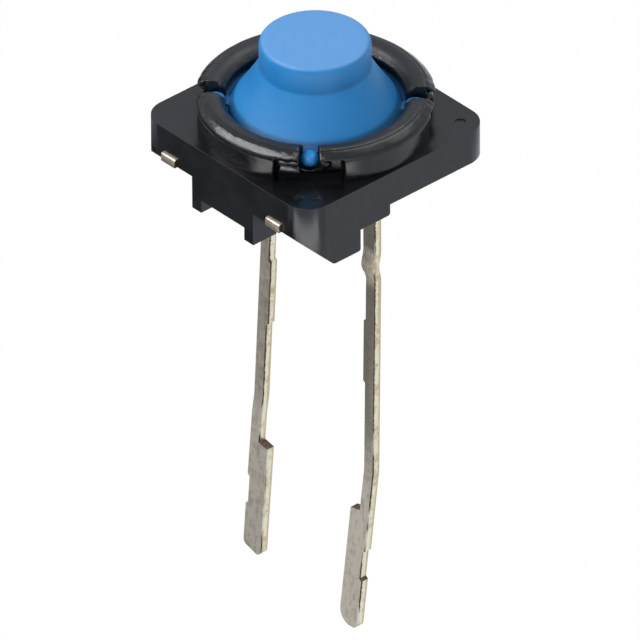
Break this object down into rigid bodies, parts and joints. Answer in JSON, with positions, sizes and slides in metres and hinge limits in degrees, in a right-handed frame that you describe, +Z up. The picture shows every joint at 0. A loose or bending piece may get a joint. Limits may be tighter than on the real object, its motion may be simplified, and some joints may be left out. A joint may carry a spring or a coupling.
{
  "type": "tactile switch",
  "caption": "Sealed square push-button tactile switch: rubber cap and boot clamped by a formed collar, long flat snap-in leads for a circuit board.",
  "frame": {"origin": "on the button's axis, in the plane of the circuit board's top face that the housing's feet stand on", "axes": "+Z up along the button's axis, away from the board; +X from the left lead to the right lead; +Y across the leads' thickness, away from the side with the cut tie-bar stubs"},
  "size_m": [0.008, 0.0081, 0.0213],
  "materials": {
    "housing_plastic": "black moulded thermoplastic, satin on the faces and glossier where the collar was formed hot",
    "cap_rubber": "matt blue silicone rubber",
    "spring_steel": "bright rolled spring steel",
    "tinned_copper": "dull tin plate over copper alloy, with bare yellowish sheared edges"
  },
  "bodies": {
    "housing": {"housing": "housing_plastic", "snap_dome": "spring_steel", "terminal_left": "tinned_copper", "terminal_right": "tinned_copper"},
    "button": {"rubber_cap": "cap_rubber"}
  },
  "joints": [
    {"name": "button_press", "type": "slide", "parent": "housing", "child": "button", "axis": [0, 0, -1], "range_m": [0, 0.00025], "stiffness_N_per_m": 8000, "deforming": ["rubber_cap", "snap_dome"]}
  ]
}
